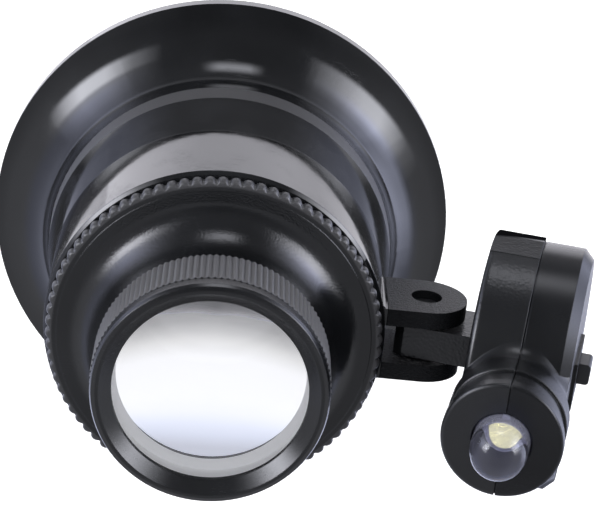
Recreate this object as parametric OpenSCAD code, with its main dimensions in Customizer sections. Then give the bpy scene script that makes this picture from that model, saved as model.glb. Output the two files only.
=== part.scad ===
// Jeweller's eye loupe with a hinged LED lamp, standing lens-up on its eyecup.
// Millimetres. Z is the optical axis, z = 0 is the plane of the eyecup rim,
// and the lamp hinge stands out towards +X with its pin along Y.

/* [Eyecup] */
// Outer radius of the eyecup rim
rim_r = 23; // [21:0.1:26]
// Flat width of the rim
rim_land = 1.2; // [0.8:0.1:1.6]
// Height of the upright lip at the rim
lip_h = 1.45; // [1:0.05:2]
// Radius of the concave flare
flare_r = 8; // [7:0.1:9]
// Radius of the short band above the flare
band_r = 16.9; // [16.5:0.1:17.5]
// Height of the short band
band_h = 2.6; // [1:0.1:3]
// Narrowing of the short band towards the cone
band_taper = 0.17; // [0.05:0.01:0.3]
// Height of the cone between band and neck
cone_h = 6.7; // [6:0.1:9]
// Outer radius of the neck
neck_r = 15.6; // [15.4:0.1:16]
// Height of the neck
neck_h = 10.4; // [9.5:0.1:13]
// Widening of the neck towards the cone
neck_taper = 0.2; // [0.05:0.01:0.3]
// Wall of the moulding
wall = 1.5; // [1.2:0.1:1.6]

/* [Front barrel] */
// Radius over the beads of the large grip ring
flange_r = 15.35; // [15:0.05:16]
// Thickness of the large grip ring
flange_h = 1.4; // [1.2:0.1:2]
// Number of beads on the large grip ring
flange_beads = 82; // [60:1:84]
// Radius of one bead
bead_r = 0.52; // [0.4:0.02:0.56]
// Radius where the flared shoulder leaves the ring
shoulder_r = 13.4; // [12.5:0.1:13.8]
// Height of the flared shoulder
shoulder_h = 5.3; // [4.6:0.1:6]
// Wall at the top of the flared shoulder
shoulder_wall = 0.55; // [0.5:0.05:0.75]
// Length of the spigot inside the neck
spigot_h = 7.5; // [6.5:0.1:8]
// Wall of the spigot round the rear lens
spigot_wall = 1.4; // [1.2:0.05:1.5]

/* [Lens cell] */
// Radius over the fine ribs
cell_r = 10.5; // [10.4:0.05:11]
// Height of the ribbed band
cell_rib_h = 5.1; // [4.8:0.1:6]
// Height of the smooth lip in front of the ribs
cell_lip_h = 1.6; // [1.4:0.1:2]
// Number of fine ribs
cell_ribs = 116; // [90:1:120]
// Depth of the fine ribs
rib_d = 0.16; // [0.1:0.01:0.2]
// Clear radius in front of the lens
aperture_r = 8.55; // [8.2:0.05:8.6]
// Length of the cell's spigot
cell_spigot_h = 3.4; // [3:0.1:3.6]
// Wall of the cell's spigot
cell_wall = 0.5; // [0.45:0.05:0.6]

/* [Optics] */
// Radius of the front lens
lens_r = 9; // [8.9:0.02:9.04]
// Edge thickness of the front lens
lens_edge = 5; // [4:0.1:5.4]
// Surface radius of the front lens
lens_curve = 36; // [30:1:45]
// Depth of the front lens's edge behind the front of the cell
lens_in = 1.6; // [1.5:0.05:2]
// Radius of the rear lens
rear_r = 12.3; // [12:0.05:12.4]
// Edge thickness of the rear lens
rear_edge = 1.85; // [1.5:0.05:2]
// Surface radius of the rear lens
rear_curve = 50; // [42:1:60]
// Height of each lens retaining ring
ring_h = 1.4; // [1:0.1:1.5]

/* [Lamp hinge] */
// Distance of the hinge pin from the optical axis
pin_x = 19.4; // [19.3:0.1:21]
// Height of the hinge pin above the rim
pin_z = 24.2; // [23.5:0.1:24.8]
// Radius of the hinge pin
pin_r = 1.35; // [1.2:0.05:1.6]
// Depth of the pin's ends inside the ears
pin_sunk = 0.8; // [0.4:0.05:1]
// Radius of the rounded ear ends
ear_r = 3.8; // [3.5:0.1:4]
// Thickness of each ear
ear_t = 1.65; // [1.3:0.05:2]
// Gap between the ears
ear_gap = 3.7; // [3.4:0.1:4]
// Width of the lamp tongue along the lamp
tongue_w = 6; // [5:0.1:6.2]
// Inward aim of the lamp
lamp_aim = 12.3; // [8:0.1:16]

/* [Lamp housing] */
// Distance from hinge pin to the seam of the housing
seam_n = 10.05; // [9.8:0.05:11]
// Thickness of each half of the housing
half_t = 4.6; // [4.5:0.05:4.8]
// Radius of the round battery case
case_r = 11.2; // [10.6:0.1:12]
// Distance of the case centre ahead of the pin
case_l = 2.6; // [2:0.1:3]
// Distance of the barrel face ahead of the pin
face_l = 19.9; // [19.5:0.1:22]
// Radius of the barrel collar
barrel_r = 5.3; // [5.2:0.05:5.6]
// Rounding of the collar's front edge
face_round = 0.35; // [0.2:0.05:0.45]
// Length of the collar
collar_h = 1.4; // [1.2:0.05:1.6]
// Width of the groove behind the collar
groove_w = 2; // [1.4:0.1:2.2]
// Depth of the groove behind the collar
groove_d = 0.3; // [0.15:0.05:0.4]
// Radius of the fillets between case and barrel
case_fillet = 3; // [2:0.1:3.5]
// Wall of the case
case_wall = 1.2; // [1:0.05:1.25]
// Bevel on the outer face of the case
outer_bevel = 0.9; // [0.4:0.1:1.1]
// Rounding of the inner face of the case
inner_bevel = 0.6; // [0.3:0.05:0.8]
// Height of the opening ledge above the case
ledge_h = 0.25; // [0.2:0.05:0.6]

/* [Lamp contents] */
// Radius of the LED body
led_r = 2.5; // [2.3:0.05:2.55]
// Length of the LED body up to its dome
led_l = 6.1; // [5.8:0.1:6.4]
// Distance of the LED dome centre ahead of the barrel face
led_out = 2; // [1.6:0.1:2.4]
// Length of the resistor's body
resistor_l = 2; // [1.8:0.1:2.2]
// Radius of the resistor's body
resistor_r = 0.65; // [0.5:0.05:0.7]
// Radius of a coin cell
coin_r = 8; // [7.6:0.1:8.1]
// Thickness of a coin cell
coin_t = 2; // [1.8:0.05:2]
// Distance of the switch knob ahead of the pin when off
knob_l = 1.9; // [1.5:0.1:2.6]
// Length of the switch knob
knob_w = 2.6; // [2:0.1:3]
// Width of the switch knob
knob_d = 2; // [1.6:0.1:2.4]
// Height of the switch knob above its pad
knob_h = 1.1; // [0.8:0.1:1.6]
// Rounding of the switch knob
knob_round = 0.35; // [0.2:0.05:0.5]
// Travel of the switch knob
knob_travel = 2; // [1.5:0.1:2.2]

/* [Clearances] */
// Radial clearance of a threaded pair
thread_gap = 0.1; // [0.06:0.01:0.15]
// Radial clearance of a lens in its seat
lens_gap = 0.05; // [0.03:0.01:0.08]
// Axial clearance at a seat
seat_gap = 0.05; // [0.03:0.01:0.08]
// Radial clearance of the hinge pin in the ears
pin_gap = 0.07; // [0.04:0.01:0.1]
// Side clearance of the tongue between the ears
tongue_gap = 0.3; // [0.2:0.05:0.4]
// Clearance of the switch knob in its slot
slot_gap = 0.12; // [0.08:0.02:0.2]

/* [Hidden] */
$fn = 96;

// Heights along the optical axis
flare_cr = band_r + flare_r;
flare_cz = lip_h + sqrt(flare_r * flare_r - (flare_cr - rim_r) * (flare_cr - rim_r));
cone_z = flare_cz + band_h;
neck_z = cone_z + cone_h;
neck_top = neck_z + neck_h;
flange_z = neck_top + seat_gap;
face_z = flange_z + flange_h;
face_step = 0.06;
shoulder_top = face_z + shoulder_h;
cell_z = shoulder_top + seat_gap;
lip_z = cell_z + cell_rib_h;
front_z = lip_z + cell_lip_h;

// Radii of the screwed-together tubes
rear_bore_r = rear_r + lens_gap;
spigot_r = rear_bore_r + spigot_wall;
neck_bore_r = spigot_r + thread_gap;
neck_edge_c = min(0.3, (neck_r - neck_bore_r) / 3);
barrel_bore_r = rear_r - 1.1;
cell_bore_r = lens_r + lens_gap;
cell_spigot_r = cell_bore_r + cell_wall;
shoulder_bore_r = cell_spigot_r + thread_gap;
shoulder_top_r = shoulder_bore_r + shoulder_wall;

// Lenses: sagitta of a surface at a radius, seats and ledges
function sag(curve, r) = curve - sqrt(curve * curve - r * r);
lens_top = front_z - lens_in;
lens_bottom = lens_top - lens_edge;
cell_ledge = lens_top + sag(lens_curve, lens_r) - sag(lens_curve, aperture_r) + seat_gap;
front_ring_r = lens_r - 0.9;
front_ring_top = lens_bottom - sag(lens_curve, lens_r) + sag(lens_curve, front_ring_r) - 0.02;
rear_bottom = flange_z - spigot_h + 3.6;
rear_top = rear_bottom + rear_edge;
rear_ledge = rear_top + sag(rear_curve, rear_r) - sag(rear_curve, barrel_bore_r) + seat_gap;
rear_ring_r = rear_r - 1;

// Hinge
ear_y = ear_gap / 2 + ear_t;
ear_hole_r = pin_r + pin_gap;
tongue_t = ear_gap - 2 * tongue_gap;
ear_root = sqrt(neck_r * neck_r - ear_y * ear_y);

// Lamp, measured from the pin: n outwards, u along the pin, l towards the LED
inner_n = seam_n - half_t;
outer_n = seam_n + half_t;
pocket_r = coin_r + 0.6;
pocket_n = inner_n + case_wall;
cover_n = outer_n - case_wall;
neck_w = barrel_r - 0.05;
groove_r = barrel_r - groove_d;
collar_l = face_l - collar_h;
groove_l = collar_l - groove_w;
fillet_u = neck_w + case_fillet;
fillet_l = case_l + sqrt(pow(case_r + case_fillet - 0.03, 2) - fillet_u * fillet_u);
fillet_a = 180 + atan2(fillet_u, fillet_l - case_l);
led_base = face_l + led_out - led_l;
led_hole_r = led_r + 0.15;
lead_u = 1.27;
leaf_t = 0.3;
leaf_l = 0.75 * coin_r;
leaf_w = 0.6 * coin_r;
tab_l = case_l + pocket_r - 0.2;
tab_u = lead_u - 0.6;
cell_n = pocket_n + leaf_t;
top_n = cell_n + 2 * coin_t;
foot_n = cover_n - 0.6;
pad_l = knob_l + knob_travel / 2;
slot_l = knob_w + knob_travel + 2 * slot_gap;
slot_w = knob_d + 2 * slot_gap;
pad_t = 0.35;

// Colours
gloss_black = "#1a1b1f";
satin_black = "#26272b";
clear = "#dfe6ee";
metal = "#b9bcc0";

// Places lamp pieces at the hinge, turned to the lamp's aim
module at_lamp() {
  translate([pin_x, 0, pin_z]) rotate([0, -lamp_aim, 0]) children();
}

// A cylinder lying along n, from n0 to n1, at distance l ahead of the pin
module disc_n(n0, n1, r, l) {
  translate([n0, 0, l]) rotate([0, 90, 0]) cylinder(h = n1 - n0, r = r);
}

// A block from corner a to corner b
module block(a, b) {
  translate(a) cube(b - a);
}

// Section of the trumpet flare and its upright lip
module flare_section() {
  intersection() {
    translate([flare_cr, flare_cz]) difference() {
      circle(r = flare_r + wall);
      circle(r = flare_r);
    }
    square([rim_r, flare_cz]);
  }
  difference() {
    polygon([[rim_r - rim_land, 0], [rim_r - 0.3, 0], [rim_r, 0.3], [rim_r, lip_h],
      [rim_r - rim_land, lip_h + 0.6]]);
    translate([flare_cr, flare_cz]) circle(r = flare_r);
  }
}

// Section of band, cone and neck
module neck_section() {
  polygon([[band_r - wall, flare_cz - 0.01], [band_r, flare_cz - 0.01],
    [band_r - band_taper, cone_z], [neck_r + neck_taper, neck_z], [neck_r, neck_top - neck_edge_c],
    [neck_r - neck_edge_c, neck_top], [neck_bore_r + neck_edge_c, neck_top],
    [neck_bore_r, neck_top - neck_edge_c],
    [neck_bore_r, neck_z - 5], [band_r - wall, cone_z - 0.6]]);
}

// One ear of the hinge with its root fillet, standing on the side given by s.
// It starts in the middle of the neck's wall
module ear(s) {
  low = s > 0 ? ear_gap / 2 : -ear_y;
  difference() {
    translate([0, low, 0]) {
      block([ear_root - 3, 0, pin_z - ear_r], [pin_x, ear_t, pin_z + ear_r]);
      translate([pin_x, ear_t, pin_z]) rotate([90, 0, 0]) cylinder(h = ear_t, r = ear_r);
    }
    cylinder(h = pin_z + 2 * ear_r, r = (neck_r + neck_bore_r) / 2);
  }
  translate([ear_root - 0.12, s * ear_y, pin_z - ear_r + 0.2]) linear_extrude(2 * ear_r - 0.4)
    polygon([[0, -s * 0.3], [0.35, -s * 0.3], [0.35, 0], [0, s * 0.28]]);
}

module eyecup() {
  color(gloss_black) difference() {
    union() {
      rotate_extrude() flare_section();
      rotate_extrude() neck_section();
      ear(1);
      ear(-1);
    }
    translate([pin_x, 0, pin_z]) rotate([90, 0, 0])
      cylinder(h = 4 * ear_y, r = ear_hole_r, center = true);
  }
}

// Points of the hollow curve of the shoulder, from the raised face of the ring to the top
function shoulder_points(n) = [for (i = [0:n]) let (t = 90 * i / n)
  [shoulder_top_r + (shoulder_r - shoulder_top_r) * (1 - sin(t)),
   face_z + face_step + (shoulder_h - face_step) * (1 - cos(t))]];

module front_barrel() {
  color(satin_black) difference() {
    union() {
      translate([0, 0, flange_z]) linear_extrude(flange_h) {
        circle(r = flange_r - 0.3);
        for (i = [1:flange_beads])
          rotate(360 * i / flange_beads) translate([flange_r - bead_r, 0]) circle(r = bead_r);
      }
      rotate_extrude() polygon(concat([[shoulder_bore_r - 1, face_z - 0.5],
        [flange_r - 1.05, face_z - 0.5], [flange_r - 1.05, face_z + face_step]],
        shoulder_points(36), [[shoulder_bore_r - 1, shoulder_top]]));
      translate([0, 0, flange_z - spigot_h]) cylinder(h = spigot_h + 0.5, r = spigot_r);
    }
    translate([0, 0, flange_z - spigot_h - 1]) cylinder(h = rear_ledge - flange_z + spigot_h + 1,
      r = rear_bore_r);
    translate([0, 0, rear_ledge - 1]) cylinder(h = flange_z + 1.4 - rear_ledge, r = barrel_bore_r);
    translate([0, 0, flange_z]) cylinder(h = shoulder_top - flange_z + 1, r = shoulder_bore_r);
  }
}

module rear_lens() {
  color(clear) rotate_extrude() intersection() {
    translate([0, rear_bottom]) square([rear_r, 20]);
    translate([0, rear_top + sag(rear_curve, rear_r) - rear_curve]) circle(r = rear_curve, $fn = 360);
  }
}

module rear_lens_ring() {
  color(satin_black) translate([0, 0, rear_bottom - 0.02 - ring_h]) difference() {
    cylinder(h = ring_h, r = rear_r);
    translate([0, 0, -1]) cylinder(h = ring_h + 2, r = rear_ring_r);
  }
}

// Outline of the ribbed band: a point on each crest and in each groove
function rib_points() = [for (i = [0:2 * cell_ribs - 1]) let (a = 180 * i / cell_ribs)
  let (r = cell_r - (i % 2) * rib_d) [r * cos(a), r * sin(a)]];

module lens_cell() {
  color(satin_black) difference() {
    union() {
      translate([0, 0, cell_z]) linear_extrude(cell_rib_h) polygon(rib_points());
      rotate_extrude() polygon([[aperture_r - 1, lip_z - 0.5], [cell_r - 0.1, lip_z - 0.5],
        [cell_r - 0.1, front_z - 0.5], [cell_r - 0.25, front_z - 0.15], [cell_r - 0.6, front_z],
        [cell_r - 0.9, front_z], [aperture_r, front_z - 0.95], [aperture_r - 1, front_z - 0.95]]);
      translate([0, 0, cell_z - cell_spigot_h]) cylinder(h = cell_spigot_h + 0.5, r = cell_spigot_r);
    }
    translate([0, 0, cell_z - cell_spigot_h - 1])
      cylinder(h = cell_ledge - cell_z + cell_spigot_h + 1, r = cell_bore_r);
    translate([0, 0, cell_ledge - 1]) cylinder(h = 10, r = aperture_r);
  }
}

module front_lens() {
  color(clear) rotate_extrude() intersection() {
    translate([0, lens_bottom - 5]) square([lens_r, lens_edge + 10]);
    translate([0, lens_top + sag(lens_curve, lens_r) - lens_curve]) circle(r = lens_curve, $fn = 360);
    translate([0, lens_bottom - sag(lens_curve, lens_r) + lens_curve])
      circle(r = lens_curve, $fn = 360);
  }
}

module front_lens_ring() {
  color(satin_black) translate([0, 0, front_ring_top - ring_h]) difference() {
    cylinder(h = ring_h, r = lens_r);
    translate([0, 0, -1]) cylinder(h = ring_h + 2, r = front_ring_r);
  }
}

// Upper edge of the housing ahead of the case, moved outwards by grow: fillet, neck and collar
function neck_edge(grow) = concat(
  [for (i = [0:8]) let (a = fillet_a + (270 - fillet_a) * i / 8)
    [fillet_l + (case_fillet - grow) * cos(a), fillet_u + (case_fillet - grow) * sin(a)]],
  [[groove_l + grow, neck_w + grow], [groove_l + grow, groove_r + grow],
   [collar_l - grow, groove_r + grow], [collar_l - grow, barrel_r + grow],
   [face_l + grow, barrel_r + grow]]);

// Plan of the housing seen along n, with l running to -X; grow moves every edge outwards
module case_plan(grow) {
  edge = neck_edge(grow);
  translate([-case_l, 0]) circle(r = case_r + grow);
  for (s = [-1, 1])
    polygon(concat([[-case_l - 4, 0]], [for (p = edge) [-p[0], s * p[1]]], [[-face_l - grow, 0]]));
}

// Points of a quarter round of radius r about c, from the angle a on
function quarter(c, r, a, n) = [for (i = [0:n]) let (t = a + 90 * i / n)
  [c[0] + r * cos(t), c[1] + r * sin(t)]];

// Barrel round the LED axis: neck with a rounded end, groove and rounded collar
module barrel() {
  translate([seam_n, 0, 0]) rotate_extrude() polygon(concat([[0, case_l],
    [half_t - 0.15, case_l], [half_t - 0.15, fillet_l - 3], [neck_w, fillet_l]],
    quarter([neck_w - 0.2, groove_l - 0.2], 0.2, 0, 4),
    [[groove_r, groove_l], [groove_r, collar_l]],
    [[barrel_r - 0.12, collar_l], [barrel_r, collar_l + 0.12]],
    quarter([barrel_r - face_round, face_l - face_round], face_round, 0, 5), [[0, face_l]]));
}

// Concave flare that leads from the case into the barrel, cut flush with the case faces
module barrel_flare() {
  intersection() {
    translate([seam_n, 0, 0]) rotate_extrude() difference() {
      translate([0, case_l + 5]) square([fillet_u * case_r / (case_r + case_fillet) - 0.1,
        fillet_l - case_l - 5]);
      translate([fillet_u, fillet_l]) circle(r = case_fillet + 0.04);
    }
    block([inner_n, -20, 0], [outer_n, 20, 40]);
  }
}

// Whole outside of the housing, both halves in one
module housing_solid() {
  translate([0, 0, case_l]) rotate([0, 90, 0]) rotate_extrude() polygon(concat([[0, inner_n]],
    quarter([case_r - inner_bevel, inner_n + inner_bevel], inner_bevel, -90, 6),
    [[case_r, outer_n - outer_bevel], [case_r - outer_bevel, outer_n], [0, outer_n]]));
  barrel_flare();
  barrel();
}

// Hollow inside of the housing: coin cell pocket, lead channel and LED seat
module housing_hollow() {
  disc_n(pocket_n, cover_n, pocket_r, case_l);
  block([seam_n - 2.2, -2.4, case_l], [seam_n + 2.2, 2.4, led_base + 0.01]);
  translate([seam_n, 0, led_base]) cylinder(h = 1.1, r = led_r + 0.45);
  translate([seam_n, 0, led_base]) cylinder(h = 20, r = led_hole_r);
}

// Rim of the inner half that plugs into the outer half
module shell_rim(clearance) {
  difference() {
    disc_n(seam_n - 0.5, seam_n + 0.8 + clearance, pocket_r + 1.1 + clearance, case_l);
    disc_n(seam_n - 1, seam_n + 2, pocket_r + 0.1 - clearance, case_l);
    block([seam_n - 2, -5.2 + clearance, case_l], [seam_n + 3, 5.2 - clearance, 30]);
  }
}

// Raised ledge on the rim of the inner half, where a nail opens the case
module opening_ledge() {
  top = case_r + ledge_h;
  intersection() {
    translate([0, 0, case_l]) rotate([0, 90, 0]) rotate_extrude() polygon(concat(
      [[case_r - 2, inner_n + 0.05]],
      quarter([top + 0.2 - inner_bevel, inner_n + 0.05 + inner_bevel], inner_bevel, -90, 6),
      [[top + 0.2, seam_n], [case_r - 2, seam_n]]));
    translate([0, 0, case_l]) rotate([0, 90, 0]) linear_extrude(seam_n) polygon([
      [-2.1, case_r - 1], [-2.1, case_r - 0.15], [1.2, top], [3.4, top - 0.4], [3.4, case_r - 1.4]]);
  }
}

module tongue() {
  intersection() {
    block([-2.2, -tongue_t / 2, -tongue_w / 2], [inner_n + 0.6, tongue_t / 2, tongue_w / 2]);
    union() {
      block([0, -5, -10], [20, 5, 10]);
      rotate([90, 0, 0]) cylinder(h = 10, r = 3.3, center = true);
    }
  }
}

module lamp_inner_shell() {
  color(satin_black) at_lamp() difference() {
    union() {
      intersection() {
        housing_solid();
        block([-1, -20, -20], [seam_n, 20, 40]);
      }
      tongue();
      shell_rim(0);
      opening_ledge();
    }
    housing_hollow();
    rotate([90, 0, 0]) cylinder(h = 20, r = pin_r + 0.02, center = true);
  }
}

module lamp_outer_shell() {
  color(satin_black) at_lamp() difference() {
    union() {
      intersection() {
        housing_solid();
        block([seam_n, -20, -20], [40, 20, 40]);
      }
      block([outer_n - 0.2, -2.3, pad_l - 3.6], [outer_n + pad_t, 2.3, pad_l + 3.6]);
    }
    housing_hollow();
    shell_rim(0.08);
    translate([seam_n - 0.01, 0, 0]) rotate([0, 90, 0]) linear_extrude(0.15) difference() {
      square(80, center = true);
      case_plan(-0.22);
    }
    block([cover_n - 0.1, -slot_w / 2, pad_l - slot_l / 2], [outer_n + 1, slot_w / 2, pad_l + slot_l / 2]);
  }
}

module hinge_pin() {
  color(satin_black) translate([pin_x, 0, pin_z]) rotate([90, 0, 0])
    cylinder(h = 2 * (ear_y - pin_sunk), r = pin_r, center = true);
}

// Chip cup, its stem and the lead below it, on the negative side
module led_cathode() {
  color(metal) at_lamp() translate([seam_n, 0, led_base]) {
    block([-0.25, -lead_u - 0.25, tab_l - led_base], [0.25, -lead_u + 0.25, 0.3]);
    block([-0.25, -1.6, 0.3], [0.25, -0.3, 2.6]);
    difference() {
      translate([0, -0.35, 2.6]) cylinder(h = 0.7, r = 1);
      translate([0, -0.35, 2.8]) cylinder(h = 1, r1 = 0.55, r2 = 1.05);
    }
  }
}

module led_anode() {
  color(metal) at_lamp() translate([seam_n, 0, led_base]) {
    block([-0.25, lead_u - 0.25, -0.5], [0.25, lead_u + 0.25, 0.3]);
    block([-0.25, 0.9, 0.3], [0.25, 1.7, 3]);
  }
}

module led_phosphor() {
  color("#e8cf5a") at_lamp() translate([seam_n, -0.35, led_base + 2.8]) {
    cylinder(h = 0.5, r1 = 0.53, r2 = 0.78);
  }
}

module led_body() {
  color(clear) difference() {
    at_lamp() translate([seam_n, 0, led_base]) {
      cylinder(h = 1, r = led_r + 0.4);
      cylinder(h = led_l, r = led_r);
      translate([0, 0, led_l]) sphere(r = led_r);
    }
    led_cathode();
    led_anode();
    led_phosphor();
  }
}

// Small axial resistor in line with the anode lead; its tail rises past the coin cells and
// lies where the slider reaches it in the on position
module resistor() {
  tail_n = foot_n - leaf_t - 0.23;
  riser_l = case_l + pocket_r - 0.38;
  tail_l = knob_l + 3.5;
  color("#c9b48a") at_lamp() translate([0, lead_u, 0]) {
    translate([seam_n, 0, riser_l + 0.28]) cylinder(h = resistor_l, r = resistor_r);
    translate([seam_n, 0, riser_l - 0.15]) cylinder(h = led_base - 0.35 - riser_l, r = 0.2);
    translate([seam_n - 0.15, 0, riser_l]) rotate([0, 90, 0]) cylinder(h = tail_n - seam_n + 0.3, r = 0.2);
    translate([tail_n, 0, tail_l]) cylinder(h = riser_l - tail_l + 0.15, r = 0.2);
  }
}

// A coin cell lying along n with its can towards the seam side
module coin(n0) {
  at_lamp() translate([n0, 0, case_l]) rotate([0, 90, 0]) rotate_extrude()
    polygon([[0, 0], [coin_r - 1.2, 0], [coin_r - 1.2, 0.25], [coin_r - 0.2, 0.25],
      [coin_r, 0.45], [coin_r, coin_t - 0.2], [coin_r - 0.2, coin_t], [0, coin_t]]);
}

module inner_coin_cell() {
  color(metal) coin(cell_n);
}

module outer_coin_cell() {
  color(metal) coin(cell_n + coin_t);
}

// Leaf under the cells with a tab that rises to the cathode lead
module negative_contact() {
  color(metal) at_lamp() {
    block([pocket_n, -leaf_w / 2, case_l - leaf_l], [pocket_n + leaf_t, leaf_w / 2, case_l + leaf_l]);
    block([pocket_n, -lead_u - 0.6, case_l + leaf_l - 1], [pocket_n + leaf_t, -tab_u, tab_l]);
    block([pocket_n, -lead_u - 0.6, tab_l - leaf_t], [seam_n - 0.25, -tab_u, tab_l]);
    block([seam_n - 0.25 - leaf_t, -lead_u - 0.6, tab_l - leaf_t], [seam_n - 0.25, -tab_u, tab_l + 1.2]);
  }
}

// Leaf over the cells with a step that rises to the switch slider
module positive_contact() {
  color(metal) at_lamp() {
    block([top_n, -leaf_w / 2, case_l - leaf_l], [top_n + leaf_t, leaf_w / 2, case_l + 2]);
    block([top_n, -1, pad_l - 5.6], [foot_n - leaf_t - 0.03, 1, pad_l - 5.3]);
    block([foot_n - 2 * leaf_t - 0.03, -1, pad_l - 5.6], [foot_n - leaf_t - 0.03, 1, pad_l - 2.2]);
  }
}

// Section of the knob across its travel, with the outer corners rounded
module knob_section() {
  top = outer_n + pad_t + knob_h - knob_round;
  side = knob_d / 2 - knob_round;
  polygon(concat([[foot_n, knob_d / 2], [foot_n, -knob_d / 2]],
    quarter([top, -side], knob_round, -90, 5), quarter([top, side], knob_round, 0, 5)));
}

module switch_knob() {
  color(satin_black) at_lamp() {
    block([foot_n, -1.8, knob_l - 3.4], [cover_n - seat_gap, 1.8, knob_l + 3.4]);
    translate([0, 0, knob_l - knob_w / 2]) linear_extrude(knob_w) knob_section();
  }
}

module switch_slider() {
  color(metal) at_lamp()
    block([foot_n - leaf_t, -1.4, knob_l - 2.8], [foot_n, 1.4, knob_l + 2.8]);
}

eyecup();
front_barrel();
rear_lens();
rear_lens_ring();
lens_cell();
front_lens();
front_lens_ring();
lamp_inner_shell();
lamp_outer_shell();
hinge_pin();
led_body();
led_cathode();
led_anode();
led_phosphor();
resistor();
inner_coin_cell();
outer_coin_cell();
negative_contact();
positive_contact();
switch_knob();
switch_slider();
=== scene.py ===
"""Looks of the eye loupe: finishes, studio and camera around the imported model."""
import math

import bmesh
import bpy
from mathutils import Matrix, Vector


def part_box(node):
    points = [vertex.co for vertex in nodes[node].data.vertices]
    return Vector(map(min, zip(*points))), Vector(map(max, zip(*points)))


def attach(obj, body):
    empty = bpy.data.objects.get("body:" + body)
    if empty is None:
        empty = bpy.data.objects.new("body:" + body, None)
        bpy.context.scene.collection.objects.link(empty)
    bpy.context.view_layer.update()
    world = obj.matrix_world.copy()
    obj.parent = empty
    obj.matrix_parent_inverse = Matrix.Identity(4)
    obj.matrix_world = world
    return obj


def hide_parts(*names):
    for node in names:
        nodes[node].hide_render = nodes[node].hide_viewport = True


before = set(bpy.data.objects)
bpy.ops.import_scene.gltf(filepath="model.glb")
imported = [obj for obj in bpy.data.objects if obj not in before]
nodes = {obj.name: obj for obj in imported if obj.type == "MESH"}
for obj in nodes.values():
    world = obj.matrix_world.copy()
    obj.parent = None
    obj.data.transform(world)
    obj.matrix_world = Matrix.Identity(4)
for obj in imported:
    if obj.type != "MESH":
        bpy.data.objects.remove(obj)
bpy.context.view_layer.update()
scene = bpy.context.scene
scene.view_settings.view_transform = "Standard"

MM = 0.001
WHITE = (1.0, 1.0, 1.0)

# Camera, as the photograph was taken: its place, the direction it looks in and the image's up
CAMERA_PLACE = Vector((-2.77, 86.54, 219.06)) * MM
CAMERA_LOOK = Vector((0.04885, -0.38126, -0.92316))
CAMERA_UP = Vector((-0.09650, 0.91815, -0.38430))
CAMERA_LENS = 137.16
CAMERA_SENSOR = 36
CAMERA_SHIFT = (-0.005, 0.0098)
CAMERA_CLIP = (0.01, 10)

# Floor: half its side in metres, its gap under the rim in millimetres, its tone and its own light
FLOOR_HALF = 1.5
FLOOR_GAP = 0.02
FLOOR_TONE = (0.8, 0.8, 0.8, 1)
FLOOR_LIGHT = 0.75

# The floor under the eyecup as the lens sees it, painted with shade towards the cup's wall and a bluish
# light in the middle: colours by millimetres from the axis, and the strength of that painted light
UNDER_LENS_PAINTED_SHADE = (
    (14.25, (0.5, 0.52, 0.61)),
    (14.5, (0.66, 0.7, 0.84)),
    (14.75, (0.79, 0.83, 0.97)),
    (14.95, (0.89, 0.91, 0.99)),
    (15.3, (0.93, 0.94, 0.98)),
    (16.7, (0.9, 0.905, 0.94)),
    (17.55, (0.7, 0.7, 0.71)),
    (18.2, (0.5, 0.5, 0.51)),
    (19.0, (0.34, 0.34, 0.35)),
    (20.4, (0.23, 0.23, 0.24)),
)
UNDER_REACH = (13, 22)
UNDER_LENS_PAINTED_LIGHT = 1.16

# Studio as the gloss shows it. Places are azimuths and heights in degrees, and a strength of 1 is white.
# A pair of places is a soft edge. A row of (place, level) stops is joined by straight lines.
ALL_ROUND = (-180, 180)
HALF_ROUND = (0, 180)
ALL_HEIGHTS = (-90, 90)
AMBIENT = 0.3

# Gloss in front of the part, where the camera is, and to its sides
FRONT = 90
FRONT_EDGE = (25, 85)
FRONT_GLOSS = 0.22
SIDE_GLOSS = 0.85
GLOSS_HEIGHTS = (
    (-90, 0.2), (-57, 0.22), (-49, 1.0), (-42, 0.9),
    (-36, 0.35), (-28, 0.45), (35, 0.5), (60, 0.3),
)
GLOSS_GAIN = 2.0

# Pale backdrop below, which the neck of the eyecup mirrors
BACKDROP = 2.3
BACKDROP_SIDES = ((0, 0.6), (24, 0.62), (50, 0.76), (110, 0.72), (140, 0.86), (180, 0.94))
BACKDROP_EDGE = (-65, -58)

# Soft windows to the right, to the left and low behind the lamp
WINDOWS = [
    {
        "sides": ((0, 0.0), (9, 0.1), (24, 1.0), (34, 0.9), (46, 0.4), (60, 0.0)),
        "heights": ((-50, 0.0), (-30, 0.13), (-20, 0.2), (-10, 0.42), (2, 0.9), (14, 1.0)),
        "peak": 10.5,
    },
    {
        "sides": ((122, 0.0), (134, 0.22), (146, 0.9), (158, 1.0), (174, 0.0)),
        "heights": ((-50, 0.0), (-25, 0.08), (-10, 0.2), (0, 0.3), (7, 0.36), (13, 0.95), (20, 1.0)),
        "peak": 13.2,
    },
    {
        "sides": ((-30, 0.0), (-12, 1.0), (8, 1.0), (20, 0.0)),
        "heights": ((-52, 0.0), (-40, 0.7), (-8, 1.0), (4, 0.0)),
        "peak": 1.7,
    },
]
WINDOW_HEIGHTS = (-60, 40)
WINDOW_TOP = (27, 36)

# Bright bar in front: where its middle is, half its width and height, and the softness of its ends
BAR_AZIMUTH = 91
BAR_HALF_WIDTH = 10
BAR_SOFT_ENDS = 5
BAR_HEIGHT = -17
BAR_HALF_HEIGHT = 7
BAR_PEAK = 4.2

# What is mirrored behind glass, by height
INSIDE = (
    (-90, 0.65), (-84, 0.68), (-77, 0.72), (-70, 0.66),
    (-60, 0.5), (-53, 0.36), (-20, 0.3), (0, 0.8),
)

# Tints of the studio, of its low sides and of the backdrop
STUDIO_TINT = (0.97, 0.985, 1.07)
SIDE_TINT = (0.91, 0.96, 1.24)
SIDE_TINT_EDGE = (25, 70)
SIDE_TINT_TOP = (-5, 14)
BACKDROP_TINT = (0.98, 0.97, 1.05)

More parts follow.
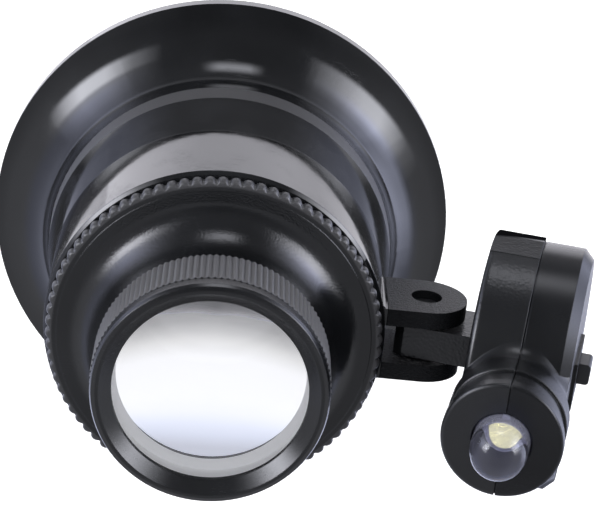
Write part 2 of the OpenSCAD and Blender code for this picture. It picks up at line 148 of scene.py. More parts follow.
# Lamps: name, place and size in metres, power in watts; all aim at one point
LAMPS = [
    ("key", (0.02, 0.30, 0.34), 0.30, 1.6),
    ("left", (-0.36, 0.12, 0.20), 0.26, 1.6),
    ("right", (0.36, 0.12, 0.20), 0.26, 0.9),
]
LAMP_AIM = Vector((0.005, 0, 0.025))

# Finishes. Places and depths are in millimetres, scales are per millimetre, and a pair is a soft edge.
# Black plastic: its tone, and the clouds in that tone and in its roughness
BLACK = (0.0042, 0.0045, 0.0052)
CLOUD_SCALE = 0.11
CLOUD_TONE_EDGE = (0.3, 0.7)
CLOUD_TONES = (0.75, 1.3)
CLOUD_ROUGH_EDGE = (0.35, 0.75)
CLOUD_ROUGH = (-0.02, 0.03)

# The same plastic rubbed dull, lighter in tone as a painted sheen, and its gloss as moulded and where it is
# left matt or lies in a hollow
DULL_SHEEN_TONE = (0.035, 0.035, 0.038)
DULL_ROUGH = 0.45
PLASTIC_GLOSS = 0.5
MATT_GLOSS = 0.05

# Orange peel, and the radius of the small rounding that the gloss shows along moulded edges
PEEL_SCALE = 0.55
EDGE_ROUND = 0.12

# Scratches from handling: two directions in degrees, each with the scale of its patches; then how they
# are stretched, how fine and how sparse they are, their depth and their roughness
SCRATCHES = (((20, 35, 10), 0.21), ((-50, 15, 70), 0.17))
SCRATCH_STRETCH = (0.12, 5.0, 5.0)
SCRATCH_FINE = 0.008
SCRATCH_PATCH = (0.54, 0.66)
SCRATCH_DEEP = 0.0012
SCRATCH_ROUGH = 0.12

# Eyecup: polish, dull band above the flare with a lighter tone that is a painted sheen (the same tone marks
# the ears' spark grain), and the hollow inside the flare's foot
EYECUP_ROUGH = 0.075
BAND_START = (9.1, 9.25)
BAND_END = (11.75, 11.85)
BAND_SHEEN_AND_SPECK_TONE = (0.036, 0.036, 0.038)
FOOT_TOP = (0.35, 0.5)
FOOT_SIDE = (22.3, 22.5)

# Ears of the eyecup: root, sides and foot; how squarely a flank faces sideways; outline and spark grain
EAR_ROOT = (15.62, 15.7)
EAR_SIDE = (3.55, 3.65)
EAR_FOOT = (19.8, 20.2)
EAR_FLANK = (0.4, 0.6)
EAR_ROUGH = 0.4
OUTLINE_DARK = 0.75
SPARK_SCALE = 4.0
SPARK_EDGE = (0.46, 0.6)
SPARK_DEEP = 0.2

# Hinge bore: its clearance round the pin, and its shaded edge beyond that
PIN_CLEARANCE = 0.07
BORE_EDGE = (0.02, 0.06)

# Lens cell: ribs, from its outer radius and by height
RIB_EDGE = (-0.3, -0.05)
RIB_TOP = (40.6, 40.8)
RIB_TONE = (0.075, 0.075, 0.08)

# Lamp's inner half: matt ledge at its top, tongue with deeper grain, and grain that fades towards the LED
LAMP_ROUGH = 0.3
LEDGE_ROUGH = 0.6
LEDGE_SIDE = (10.9, 11.05)
LEDGE_END = (27.0, 27.6)
TONGUE_END = (23.0, 23.4)
TONGUE_GRAIN = 2.0
GRAIN_FADE = (34, 38)
GRAIN_LEFT = 0.1
PEBBLE = 0.3
PEBBLE_DEEP = 0.009
PEBBLE_SMOOTH = 0.6
PEBBLE_SLOPE = (0.1, 0.75)

# Lamp's outer half, with its matt underside
COVER_ROUGH = 0.25
COVER_GLOSS = 0.3
UNDERSIDE = (-8.5, -7.5)
UNDERSIDE_ROUGH = 0.5

# Lenses: index, how squarely the ground edge faces sideways, and what tells the front lens from the rear one
LENS_INDEX = 1.49
LENS_RIM = (0.1, 0.2)
LENS_GAP = (-1, -0.5)
LENS_MIDDLE = (-0.1, 0.1)

# Ground seat of the front lens, by share of its radius, and ground glass with a painted glow, stronger on
# the front lens
GROUND_SEAT = 0.886
GROUND_EDGE = (-0.04, 0.04)
GROUND_ROUGH = 0.6
GROUND_GLOW_TINT = (0.96, 0.97, 1.0, 1)
FRONT_GROUND_PAINTED_GLOW = 0.09
REAR_GROUND_PAINTED_GLOW = 0.03

# Finger grease and faint waves on the lenses
GREASE_SCALE = 0.35
GREASE_EDGE = (0.55, 0.8)
GREASE_ROUGH = (0.0, 0.025)
WAVE_SCALE = 0.3
WAVE_DEEP = 0.0001

# LED: direction it points in, where its dome begins along that, and how clear its barrel and dome are
LED_TILT = math.radians(12.3)
LED_AXIS = (-math.sin(LED_TILT), 0, math.cos(LED_TILT))
LED_DOME = (40.9, 41.3)
LED_CLEAR = (0.78, 0.96)

# Resin of the LED, its tone darkened as painted shade, its bright skin and its flow marks
RESIN_TONE_AND_SHADE = (0.56, 0.57, 0.74, 1)
RESIN_INDEX = 1.2
SKIN_WEIGHT = 0.6
SKIN_ROUGH = 0.04
FLOW_SCALE = 0.9
FLOW_EDGE = (0.4, 0.7)
FLOW_ROUGH = (0.02, 0.06)
FLOW_DEEP = 0.002

# Phosphor: its two yellows, its painted glow and its grains
PHOSPHOR_TONES = ((0.88, 0.82, 0.38), (0.96, 0.92, 0.52))
PHOSPHOR_PAINTED_GLOW = 1.25
PHOSPHOR_ROUGH = 0.6
PHOSPHOR_SCALE = 14.0
PHOSPHOR_DEEP = 0.02

# Metals: drawing lines and tarnish
LINE_ROUGH = 0.15
LINE_DEEP = 0.006
TARNISH_SCALE = 0.4
TARNISH_EDGE = (0.4, 0.75)
TARNISH_SHARE = 0.78

# Lacquer of the resistor and its specks
LACQUER_TONES = ((0.5, 0.36, 0.2), (0.62, 0.47, 0.29))
LACQUER_ROUGH = (0.35, 0.5)
SPECK_SCALE = 5.0
SPECK_EDGE = (0.3, 0.7)
SPECK_DEEP = 0.01

# Beads of the grip ring: depth of the ring that is reworked, flat middle share, rounding and cut heights;
# how far they are rubbed matt and lightened with a painted sheen, and from where in that ring
BEAD_DEEP = 0.75
BEAD_FLAT = 0.15
BEAD_ROUND = 0.42
BEAD_LEVELS = (0.3, 0.5, 0.68, 0.82, 0.92, 0.98)
BEAD_RUBBED_AND_SHEEN = 0.8
BEAD_EDGE = (0, 0.25)

# Meshes reworked here: joining distance in metres, and the angle in degrees of an edge that stays sharp
WELD = 1e-7
SHARP = 32


class Graph:
    """Adds nodes to a tree and wires plain numbers or sockets into them."""

    def __init__(self, tree):
        self.tree = tree
        self.nodes = tree.nodes
        self.nodes.clear()

    def add(self, kind, **settings):
        node = self.nodes.new(kind)
        for key, value in settings.items():
            setattr(node, key, value)
        return node

    def wire(self, value, socket):
        if isinstance(value, bpy.types.NodeSocket):
            self.tree.links.new(value, socket)
        else:
            socket.default_value = value

    def math(self, operation, a, b=0.0, clamp=False):
        node = self.add("ShaderNodeMath", operation=operation, use_clamp=clamp)
        self.wire(a, node.inputs[0])
        self.wire(b, node.inputs[1])
        return node.outputs[0]

    def times(self, first, *others):
        """The product of several values."""
        for other in others:
            first = self.math("MULTIPLY", first, other)
        return first

    def most(self, first, *others):
        """The largest of several values."""
        for other in others:
            first = self.math("MAXIMUM", first, other)
        return first

    def away(self, value, centre):
        """How far a value is from a centre, on either side."""
        return self.math("ABSOLUTE", self.math("SUBTRACT", value, centre))

    def step(self, value, low, high, to_low=0.0, to_high=1.0, smooth=True):
        """Goes from to_low to to_high as the value goes from low to high, and stays there beyond them."""
        node = self.add("ShaderNodeMapRange", interpolation_type="SMOOTHSTEP" if smooth else "LINEAR")
        for socket, item in zip(node.inputs, (value, low, high, to_low, to_high)):
            self.wire(item, socket)
        return node.outputs[0]

    def rise(self, value, edge):
        """0 before a soft edge and 1 after it."""
        return self.step(value, *edge)

    def fall(self, value, edge):
        """1 before a soft edge and 0 after it."""
        return self.step(value, *edge, 1.0, 0.0)

    def band(self, value, centre, half, soft):
        """1 within half of the centre, falling to 0 over a soft edge."""
        return self.fall(self.away(value, centre), (half - soft, half + soft))

    def mix(self, factor, a, b):
        """a where factor is 0 and b where it is 1, for numbers."""
        node = self.add("ShaderNodeMix", data_type="FLOAT")
        self.wire(factor, node.inputs[0])
        self.wire(a, node.inputs[2])
        self.wire(b, node.inputs[3])
        return node.outputs[0]

    def blend(self, factor, a, b):
        """a where factor is 0 and b where it is 1, for colours."""
        node = self.add("ShaderNodeMix", data_type="RGBA")
        self.wire(factor, node.inputs[0])
        self.wire((*a, 1) if isinstance(a, tuple) else a, node.inputs[6])
        self.wire((*b, 1) if isinstance(b, tuple) else b, node.inputs[7])
        return node.outputs[2]

    def ramp(self, value, reach, stops):
        """Straight lines through (value, level or colour) stops, which lie within a reach."""
        low, high = reach
        node = self.add("ShaderNodeValToRGB")
        ramp = node.color_ramp
        while len(ramp.elements) < len(stops):
            ramp.elements.new(0.5)
        for element, (at, level) in zip(ramp.elements, stops):
            element.position = (at - low) / (high - low)
            element.color = (*level, 1) if isinstance(level, tuple) else (level, level, level, 1)
        self.wire(self.step(value, low, high, smooth=False), node.inputs[0])
        return node.outputs[0]

    def noise(self, place, scale, detail=2.0, rough=0.5):
        node = self.add("ShaderNodeTexNoise")
        self.wire(place, node.inputs["Vector"])
        node.inputs["Scale"].default_value = scale
        node.inputs["Detail"].default_value = detail
        node.inputs["Roughness"].default_value = rough
        return node.outputs[0]

    def pebbles(self, place, size):
        """Leather-like grain of that size in millimetres: 0 in the furrows and 1 on the pebbles."""
        node = self.add("ShaderNodeTexVoronoi", feature="SMOOTH_F1")
        self.wire(place, node.inputs["Vector"])
        node.inputs["Scale"].default_value = 1 / size
        node.inputs["Smoothness"].default_value = PEBBLE_SMOOTH
        return self.fall(node.outputs["Distance"], PEBBLE_SLOPE)

    def split(self, place):
        """The three coordinates of a place."""
        node = self.add("ShaderNodeSeparateXYZ")
        self.wire(place, node.inputs[0])
        return node.outputs

    def radius(self, a, b):
        """Distance from an axis, from the two coordinates across it."""
        return self.math("SQRT", self.math("ADD", self.times(a, a), self.times(b, b)))

    def turned(self, place, angles, scale):
        """The place turned by angles in degrees and stretched by a scale along each axis."""
        node = self.add("ShaderNodeMapping")
        self.wire(place, node.inputs["Vector"])
        node.inputs["Rotation"].default_value = [math.radians(a) for a in angles]
        node.inputs["Scale"].default_value = scale
        return node.outputs[0]

    def facing(self, axis):
        """How squarely the surface faces along an axis of its piece, either way: 0 to 1."""
        where = self.add("ShaderNodeTexCoord")
        return self.math("ABSOLUTE", self.split(where.outputs["Normal"])[axis])

    def bump(self, height, depth, normal=None):
        """A height of 0 to 1 as relief of that depth in millimetres."""
        node = self.add("ShaderNodeBump")
        node.inputs["Distance"].default_value = depth * MM
        self.wire(height, node.inputs["Height"])
        if normal is not None:
            self.wire(normal, node.inputs["Normal"])
        return node.outputs[0]


def shifted(edge, distance):
    """A soft edge moved by a distance."""
    return [at + distance for at in edge]


def place_camera():
    data = bpy.data.cameras.new("camera")
    data.sensor_fit = "HORIZONTAL"
    data.sensor_width = CAMERA_SENSOR
    data.lens = CAMERA_LENS
    data.shift_x, data.shift_y = CAMERA_SHIFT
    data.clip_start, data.clip_end = CAMERA_CLIP
    camera = bpy.data.objects.new("camera", data)
    scene.collection.objects.link(camera)
    back = -CAMERA_LOOK.normalized()
    right = CAMERA_UP.cross(back).normalized()
    up = back.cross(right)
    turn = Matrix((right, up, back)).transposed()
    camera.matrix_world = Matrix.Translation(CAMERA_PLACE) @ turn.to_4x4()
    scene.camera = camera


def floor_finish():
    """White sheet that is clear from below; through the lens it shows painted shade and light under the
    eyecup.
    """
    material = bpy.data.materials.new("floor")
    material.use_nodes = True
    g = Graph(material.node_tree)
    path = g.add("ShaderNodeLightPath")
    through = path.outputs["Is Transmission Ray"]
    seen = g.most(path.outputs["Is Camera Ray"], path.outputs["Is Glossy Ray"])
    sheet = g.add("ShaderNodeBsdfDiffuse")
    sheet.inputs["Color"].default_value = FLOOR_TONE
    where = g.add("ShaderNodeTexCoord")
    from_axis = g.add("ShaderNodeVectorMath", operation="LENGTH")
    g.wire(where.outputs["Object"], from_axis.inputs[0])
    # Painted shade and light under the eyecup, seen only through glass: darker towards the cup's wall, bluer
    # in the middle
    under = g.ramp(g.math("DIVIDE", from_axis.outputs["Value"], MM), UNDER_REACH, UNDER_LENS_PAINTED_SHADE)
    glow = g.add("ShaderNodeEmission")
    g.wire(g.blend(through, WHITE, under), glow.inputs["Color"])
    g.wire(g.mix(through, g.times(seen, FLOOR_LIGHT), UNDER_LENS_PAINTED_LIGHT), glow.inputs["Strength"])
    both = g.add("ShaderNodeAddShader")
    g.wire(sheet.outputs[0], both.inputs[0])
    g.wire(glow.outputs[0], both.inputs[1])
    side = g.add("ShaderNodeNewGeometry")
    clear = g.add("ShaderNodeBsdfTransparent")
    one_sided = g.add("ShaderNodeMixShader")
    g.wire(side.outputs["Backfacing"], one_sided.inputs[0])
    g.wire(both.outputs[0], one_sided.inputs[1])
    g.wire(clear.outputs[0], one_sided.inputs[2])
    out = g.add("ShaderNodeOutputMaterial")
    g.wire(one_sided.outputs[0], out.inputs["Surface"])
    return material


def make_floor():
    """Flat sheet just under the part, which keeps the shadow and isn't mirrored in the gloss."""
    mesh = bpy.data.meshes.new("floor")
    s = FLOOR_HALF
    mesh.from_pydata([(-s, -s, 0), (s, -s, 0), (s, s, 0), (-s, s, 0)], [], [(0, 1, 2, 3)])
    mesh.transform(Matrix.Translation((0, 0, -FLOOR_GAP * MM)))
    mesh.materials.append(floor_finish())
    floor = bpy.data.objects.new("floor", mesh)
    scene.collection.objects.link(floor)
    floor.visible_glossy = False


def make_world():
    """White to the camera; in gloss and glass, three soft windows, a bar and the backdrop."""
    world = bpy.data.worlds.new("world")
    scene.world = world
    world.use_nodes = True
    world.cycles.sampling_method = "NONE"
    g = Graph(world.node_tree)
    path = g.add("ShaderNodeLightPath")
    where = g.add("ShaderNodeTexCoord")
    x, y, z = g.split(where.outputs["Generated"])
    height = g.times(g.math("ARCSINE", z), math.degrees(1))
    around = g.times(g.math("ARCTAN2", y, x), math.degrees(1))

    from_front = g.away(around, FRONT)
    gloss = g.step(from_front, *FRONT_EDGE, FRONT_GLOSS, SIDE_GLOSS)
    total = g.times(gloss, g.ramp(height, ALL_HEIGHTS, GLOSS_HEIGHTS), GLOSS_GAIN)
    below = g.fall(height, BACKDROP_EDGE)
    total = g.mix(below, total, g.times(g.ramp(around, HALF_ROUND, BACKDROP_SIDES), BACKDROP))
    for window in WINDOWS:
        sides = g.ramp(around, ALL_ROUND, window["sides"])
        levels = g.ramp(height, WINDOW_HEIGHTS, window["heights"])
        shape = g.times(sides, levels, g.fall(height, WINDOW_TOP))
        total = g.math("ADD", total, g.times(shape, window["peak"]))
    across = g.band(around, BAR_AZIMUTH, BAR_HALF_WIDTH, BAR_SOFT_ENDS)
    upright = g.band(height, BAR_HEIGHT, BAR_HALF_HEIGHT, BAR_HALF_HEIGHT)
    total = g.math("ADD", total, g.times(across, upright, BAR_PEAK))

    glossy = path.outputs["Is Glossy Ray"]
    inside = g.math("GREATER_THAN", path.outputs["Transmission Depth"], 0.5)
    camera = path.outputs["Is Camera Ray"]
    strength = g.mix(glossy, AMBIENT, total)
    strength = g.mix(inside, strength, g.ramp(height, ALL_HEIGHTS, INSIDE))
    strength = g.mix(camera, strength, 1.0)
    low_side = g.times(g.rise(from_front, SIDE_TINT_EDGE), g.fall(height, SIDE_TINT_TOP))
    tint = g.blend(below, g.blend(low_side, STUDIO_TINT, SIDE_TINT), BACKDROP_TINT)
    back = g.add("ShaderNodeBackground")
    g.wire(g.blend(camera, tint, WHITE), back.inputs["Color"])
    g.wire(strength, back.inputs["Strength"])
    out = g.add("ShaderNodeOutputWorld")
    g.wire(back.outputs[0], out.inputs["Surface"])


def make_lamps():
    """Square lamps that light the part and aren't seen in its gloss or glass."""
    for name, place, size, power in LAMPS:
        data = bpy.data.lights.new(name, "AREA")
        data.shape = "SQUARE"
        data.size = size
        data.energy = power
        lamp = bpy.data.objects.new(name, data)
        scene.collection.objects.link(lamp)
        lamp.location = place
        aim = LAMP_AIM - Vector(place)
        lamp.rotation_euler = aim.to_track_quat("-Z", "Y").to_euler()
        lamp.visible_camera = False
        lamp.visible_glossy = False
        lamp.visible_transmission = False


def new_finish(name):
    """A new material: (material, its graph, its shader, the place on the piece in millimetres)."""
    material = bpy.data.materials.new(name)
    material.use_nodes = True
    g = Graph(material.node_tree)
    shader = g.add("ShaderNodeBsdfPrincipled")
    out = g.add("ShaderNodeOutputMaterial")
    g.wire(shader.outputs[0], out.inputs["Surface"])
    where = g.add("ShaderNodeTexCoord")
    place = g.add("ShaderNodeVectorMath", operation="SCALE")
    g.wire(where.outputs["Object"], place.inputs[0])
    place.inputs["Scale"].default_value = 1 / MM
    return material, g, shader, place.outputs[0]


def hairlines(g, place):
    """Sparse fine scratches from handling: 1 on a scratch and 0 elsewhere."""
    layers = []
    for angles, patch in SCRATCHES:
        waves = g.noise(g.turned(place, angles, SCRATCH_STRETCH), 1.0, detail=1.0)
        lines = g.fall(g.away(waves, 0.5), (0.0, SCRATCH_FINE))
        layers.append(g.times(lines, g.rise(g.noise(place, patch, detail=1.0), SCRATCH_PATCH)))
    return g.most(*layers)


def moulding(g, shader, place, rough, peel, grain, grain_size, dull=None, dull_and_sheen_tone=DULL_SHEEN_TONE):
    """Black moulded plastic: cloudy tone, handling marks, orange peel and the tool's grain.

    peel and grain are depths. dull, if it is given, is 1 where the surface is matt; there it takes its own
    tone, which on the eyecup's band and the grip beads is a painted sheen.
    The result is the normal to use.
    """
    clouds = g.noise(place, CLOUD_SCALE, detail=3.0)
    scratches = hairlines(g, place)
    darker, lighter = [tuple(share * c for c in BLACK) for share in CLOUD_TONES]
    color = g.blend(g.rise(clouds, CLOUD_TONE_EDGE), darker, lighter)
    if dull is not None:
        # The dull tone is partly a painted sheen, on the eyecup's band and the grip beads
        color = g.blend(dull, color, dull_and_sheen_tone)
        rough = g.mix(dull, rough, DULL_ROUGH)
    g.wire(color, shader.inputs["Base Color"])
    worn = g.math("ADD", rough, g.step(clouds, *CLOUD_ROUGH_EDGE, *CLOUD_ROUGH))
    worn = g.math("ADD", worn, g.times(scratches, SCRATCH_ROUGH), clamp=True)
    g.wire(worn, shader.inputs["Roughness"])
    edges = g.add("ShaderNodeBevel", samples=4)
    edges.inputs["Radius"].default_value = EDGE_ROUND * MM
    normal = g.bump(g.noise(place, PEEL_SCALE, detail=1.0), peel, edges.outputs[0])
    normal = g.bump(g.noise(place, 1 / grain_size, rough=0.6), grain, normal)
    return g.bump(g.math("SUBTRACT", 1.0, scratches), SCRATCH_DEEP, normal)


def black_plastic(name, rough, peel, grain, grain_size):
    material, g, shader, place = new_finish(name)
    normal = moulding(g, shader, place, rough, peel, grain, grain_size)
    g.wire(normal, shader.inputs["Normal"])
    return material


def eyecup_plastic():
    """Polished black, with a dull band above the flare whose lighter tone is a painted sheen, and
    spark-grained ears.
    """
    material, g, shader, place = new_finish("eyecup_gloss")
    x, y, z = g.split(place)
    band = g.times(g.rise(z, BAND_START), g.fall(z, BAND_END))
    foot = g.times(g.fall(z, FOOT_TOP), g.fall(g.radius(x, y), FOOT_SIDE))

    # The ears: their flat flanks, the dark outline between those, and the hinge bore
    ear = g.times(g.rise(x, EAR_ROOT), g.fall(g.math("ABSOLUTE", y), EAR_SIDE), g.rise(z, EAR_FOOT))
    flank = g.rise(g.facing(1), EAR_FLANK)
    outline = g.times(ear, g.math("SUBTRACT", 1.0, flank))
    low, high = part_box("hinge_pin")
    pin = (low + high) / 2 / MM
    bore = (high.x - low.x) / 2 / MM + PIN_CLEARANCE
    from_pin = g.radius(g.math("SUBTRACT", x, pin.x), g.math("SUBTRACT", z, pin.z))
    hole = g.times(ear, g.fall(from_pin, shifted(BORE_EDGE, bore)))

    sparks = g.noise(place, SPARK_SCALE, detail=3.0, rough=0.7)
    specks = g.times(ear, flank, g.rise(sparks, SPARK_EDGE))
    rough = g.mix(g.most(ear, foot), EYECUP_ROUGH, EAR_ROUGH)
    # The band's lighter tone is a painted sheen; on the ears the same tone marks grain specks
    normal = moulding(
        g, shader, place, rough, peel=0.0035, grain=0.0006, grain_size=0.35,
        dull=g.most(band, specks), dull_and_sheen_tone=BAND_SHEEN_AND_SPECK_TONE,
    )
    dark = g.most(hole, foot, g.times(outline, OUTLINE_DARK))
    g.wire(g.mix(dark, PLASTIC_GLOSS, MATT_GLOSS), shader.inputs["Specular IOR Level"])
    g.wire(g.bump(g.times(ear, sparks), SPARK_DEEP, normal), shader.inputs["Normal"])
    return material


def barrel_plastic():
    """Satin black with fine grain, and with the beads of the grip ring rubbed matt and lightened with a
    painted sheen.
    """
    material, g, shader, place = new_finish("barrel_satin")
    x, y, _ = g.split(place)
    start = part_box("front_barrel")[1].x / MM - BEAD_DEEP
    # The beads are rubbed matt, and their lighter tone is a painted sheen
    beads = g.times(g.rise(g.radius(x, y), shifted(BEAD_EDGE, start)), BEAD_RUBBED_AND_SHEEN)
    normal = moulding(g, shader, place, rough=0.16, peel=0.003, grain=0.02, grain_size=0.2, dull=beads)
    g.wire(normal, shader.inputs["Normal"])
    return material


def cell_plastic():
    """Satin black, with the fine ribs matt and a lighter grey."""
    material, g, shader, place = new_finish("cell_satin")
    x, y, z = g.split(place)
    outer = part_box("lens_cell")[1].x / MM
    ribs = g.times(g.rise(g.radius(x, y), shifted(RIB_EDGE, outer)), g.fall(z, RIB_TOP))
    normal = moulding(
        g, shader, place, rough=0.22, peel=0.003, grain=0.002, grain_size=0.25,
        dull=ribs, dull_and_sheen_tone=RIB_TONE,
    )
    g.wire(normal, shader.inputs["Normal"])
    return material


def lamp_plastic():
    """Black with the pebbled grain of the lamp's inner half; its top ledge is matt."""
    material, g, shader, place = new_finish("lamp_grain")
    x, y, z = g.split(place)
    ledge = g.times(g.rise(y, LEDGE_SIDE), g.fall(z, LEDGE_END))
    rough = g.mix(ledge, LAMP_ROUGH, LEDGE_ROUGH)
    normal = moulding(g, shader, place, rough, peel=0.004, grain=0.004, grain_size=0.12)
    g.wire(g.mix(ledge, PLASTIC_GLOSS, 0.0), shader.inputs["Specular IOR Level"])
    tongue = g.step(x, *TONGUE_END, TONGUE_GRAIN, 1.0)
    fading = g.step(z, *GRAIN_FADE, 1.0, GRAIN_LEFT)
    grain = g.times(g.pebbles(place, PEBBLE), tongue, fading)
    g.wire(g.bump(grain, PEBBLE_DEEP, normal), shader.inputs["Normal"])
    return material


def lamp_cover():
    """Satin black of the lamp's outer half; the underside of its case is left matt."""
    material, g, shader, place = new_finish("lamp_satin")
    _, y, _ = g.split(place)
    under = g.fall(y, UNDERSIDE)
    rough = g.mix(under, COVER_ROUGH, UNDERSIDE_ROUGH)
    normal = moulding(g, shader, place, rough, peel=0.004, grain=0.003, grain_size=0.2)
    g.wire(g.mix(under, COVER_GLOSS, MATT_GLOSS), shader.inputs["Specular IOR Level"])
    g.wire(normal, shader.inputs["Normal"])
    return material


def lens_glass():
    """Clear lens, with finger grease in its gloss; its edge and the front lens's seat are ground white and
    have a painted glow.
    """
    material, g, shader, place = new_finish("lens_glass")
    shader.inputs["Base Color"].default_value = (*WHITE, 1)
    shader.inputs["IOR"].default_value = LENS_INDEX
    shader.inputs["Emission Color"].default_value = GROUND_GLOW_TINT
    x, y, z = g.split(place)
    low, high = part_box("front_lens")
    bottom = low.z / MM
    middle = (low.z + high.z) / 2 / MM
    seat = GROUND_SEAT * high.x / MM
    front_lens = g.rise(z, shifted(LENS_GAP, bottom))
    edge = g.fall(g.facing(2), LENS_RIM)
    back = g.times(front_lens, g.fall(z, shifted(LENS_MIDDLE, middle)))
    back = g.times(back, g.rise(g.radius(x, y), shifted(GROUND_EDGE, seat)))
    ground = g.most(edge, back)
    grease = g.step(g.noise(place, GREASE_SCALE, detail=3.0, rough=0.6), *GREASE_EDGE, *GREASE_ROUGH)
    g.wire(g.mix(ground, grease, GROUND_ROUGH), shader.inputs["Roughness"])
    g.wire(g.math("SUBTRACT", 1.0, ground), shader.inputs["Transmission Weight"])
    # Painted glow on the ground glass, stronger on the front lens than the rear one
    light = g.mix(front_lens, REAR_GROUND_PAINTED_GLOW, FRONT_GROUND_PAINTED_GLOW)
    g.wire(g.times(ground, light), shader.inputs["Emission Strength"])
    g.wire(g.bump(g.noise(place, WAVE_SCALE, detail=1.0), WAVE_DEEP), shader.inputs["Normal"])
    return material


def clear_resin():
    """The LED's cast body: slightly milky, its lavender grey darkened as painted shade, with faint flow
    marks under a bright skin.

    Its index is low, so the chip cup is seen through the dome where the photograph shows it.
    """
    material, g, shader, place = new_finish("led_clear")
    # Painted shade: the milky resin's lavender grey is darkened, most where it is less clear below the dome
    shader.inputs["Base Color"].default_value = RESIN_TONE_AND_SHADE
    shader.inputs["IOR"].default_value = RESIN_INDEX
    shader.inputs["Coat Weight"].default_value = SKIN_WEIGHT
    shader.inputs["Coat Roughness"].default_value = SKIN_ROUGH
    along = g.add("ShaderNodeVectorMath", operation="DOT_PRODUCT")
    g.wire(place, along.inputs[0])
    along.inputs[1].default_value = LED_AXIS
    clear = g.step(along.outputs["Value"], *LED_DOME, *LED_CLEAR)
    g.wire(clear, shader.inputs["Transmission Weight"])
    marks = g.noise(place, FLOW_SCALE)
    g.wire(g.step(marks, *FLOW_EDGE, *FLOW_ROUGH), shader.inputs["Roughness"])
    g.wire(g.bump(marks, FLOW_DEEP), shader.inputs["Normal"])
    return material


def phosphor():
    """Phosphor on the chip, with a painted glow though the LED is not lit."""
    material, g, shader, place = new_finish("led_yellow")
    # Painted glow: the phosphor gives light though the LED is not lit
    shader.inputs["Emission Strength"].default_value = PHOSPHOR_PAINTED_GLOW
    shader.inputs["Roughness"].default_value = PHOSPHOR_ROUGH
    grains = g.noise(place, PHOSPHOR_SCALE, detail=3.0, rough=0.7)
    yellow = g.blend(grains, *PHOSPHOR_TONES)
    g.wire(yellow, shader.inputs["Base Color"])
    g.wire(yellow, shader.inputs["Emission Color"])
    g.wire(g.bump(grains, PHOSPHOR_DEEP), shader.inputs["Normal"])
    return material


def metal(name, color, rough, brush):
    """Rolled sheet or wire with drawing lines and slight tarnish; brush stretches the lines."""
    material, g, shader, place = new_finish(name)
    shader.inputs["Metallic"].default_value = 1.0
    lines = g.noise(g.turned(place, (0, 0, 0), brush), 1.0, detail=3.0, rough=0.6)
    tarnish = g.rise(g.noise(place, TARNISH_SCALE, detail=3.0), TARNISH_EDGE)
    tarnished = tuple(TARNISH_SHARE * c for c in color)
    g.wire(g.blend(tarnish, color, tarnished), shader.inputs["Base Color"])
    g.wire(g.math("ADD", g.times(lines, LINE_ROUGH), rough), shader.inputs["Roughness"])
    g.wire(g.bump(lines, LINE_DEEP), shader.inputs["Normal"])
    return material


def resistor_finish():
    """Tan lacquer, speckled."""
    material, g, shader, place = new_finish("resistor_tan")
    specks = g.noise(place, SPECK_SCALE, detail=3.0, rough=0.6)
    g.wire(g.blend(specks, *LACQUER_TONES), shader.inputs["Base Color"])
    g.wire(g.step(specks, *SPECK_EDGE, *LACQUER_ROUGH), shader.inputs["Roughness"])
    g.wire(g.bump(specks, SPECK_DEEP), shader.inputs["Normal"])
    return material


def make_finishes():
    """A material for each of the record's slots."""
    return {
        "eyecup_gloss": eyecup_plastic(),
        "barrel_satin": barrel_plastic(),
        "cell_satin": cell_plastic(),
        "ring_black": black_plastic("ring_black", rough=0.5, peel=0.002, grain=0.004, grain_size=0.2),
        "lens_glass": lens_glass(),
        "lamp_grain": lamp_plastic(),
        "lamp_satin": lamp_cover(),
        "knob_satin": black_plastic("knob_satin", rough=0.3, peel=0.003, grain=0.006, grain_size=0.15),
        "pin_black": black_plastic("pin_black", rough=0.5, peel=0.002, grain=0.005, grain_size=0.15),
        "led_clear": clear_resin(),
        "led_yellow": phosphor(),
        "lead_tin": metal("lead_tin", (0.88, 0.87, 0.85), rough=0.22, brush=(9.0, 9.0, 0.4)),
        "coin_steel": metal("coin_steel", (0.66, 0.66, 0.67), rough=0.2, brush=(0.5, 7.0, 7.0)),
        "contact_brass": metal("contact_brass", (0.8, 0.62, 0.3), rough=0.24, brush=(0.5, 8.0, 0.5)),
        "resistor_tan": resistor_finish(),
    }


def joined_copy(name):
    """A bmesh of a node's mesh, with the seams along its sharp edges joined."""
    bm = bmesh.new()
    bm.from_mesh(nodes[name].data)
    bmesh.ops.remove_doubles(bm, verts=bm.verts, dist=WELD)
    return bm


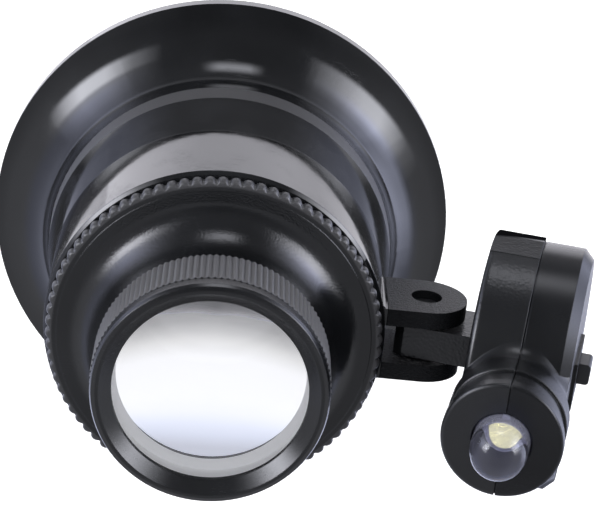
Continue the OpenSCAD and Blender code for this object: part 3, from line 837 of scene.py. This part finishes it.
def stand_in(bm, name, body, slot):
    """Turns a reworked bmesh of a node into the piece that is seen in its place."""
    mesh = bpy.data.meshes.new(name + "_soft")
    bm.to_mesh(mesh)
    bm.free()
    for spare in ("custom_normal", "sharp_edge", "sharp_face"):
        if spare in mesh.attributes:
            mesh.attributes.remove(mesh.attributes[spare])
    mesh.shade_smooth()
    mesh.set_sharp_from_angle(angle=math.radians(SHARP))
    mesh.materials.clear()
    mesh.materials.append(finishes[slot])
    piece = bpy.data.objects.new(name + "_soft", mesh)
    scene.collection.objects.link(piece)
    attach(piece, body)
    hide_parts(name)


def round_beads():
    """The large grip ring with its beads rounded from straight ribs into a chain of pillows."""
    bm = joined_copy("front_barrel")

    def radius(vert):
        return vert.co.xy.length / MM

    start = max(radius(v) for v in bm.verts) - BEAD_DEEP
    rim = [v.co.z for v in bm.verts if radius(v) > start]
    middle = (min(rim) + max(rim)) / 2
    half = (max(rim) - min(rim)) / 2
    for level in BEAD_LEVELS:
        for side in (-1, 1):
            faces = [f for f in bm.faces if all(radius(v) > start for v in f.verts)]
            edges = {e for f in faces for e in f.edges}
            verts = {v for f in faces for v in f.verts}
            ring = [*faces, *edges, *verts]
            cut = (0, 0, middle + side * level * half)
            bmesh.ops.bisect_plane(bm, geom=ring, dist=WELD, plane_co=cut, plane_no=(0, 0, 1))
    for v in bm.verts:
        if radius(v) > start:
            reach = min(1.0, abs(v.co.z - middle) / half)
            bulge = max(0.0, (reach - BEAD_FLAT) / (1 - BEAD_FLAT))
            share = (radius(v) - start) / BEAD_DEEP
            inward = BEAD_ROUND * share * (1 - math.sqrt(1 - bulge * bulge))
            v.co.xy *= 1 - inward / radius(v)
    stand_in(bm, "front_barrel", "front_barrel", "barrel_satin")


def dress_nodes():
    """Each CAD node takes the finish of its own slot."""
    for obj in nodes.values():
        slot = obj.material_slots[0]
        slot.material = finishes[slot.material.name.split(".")[0]]


place_camera()
make_floor()
make_world()
make_lamps()
finishes = make_finishes()
dress_nodes()
round_beads()
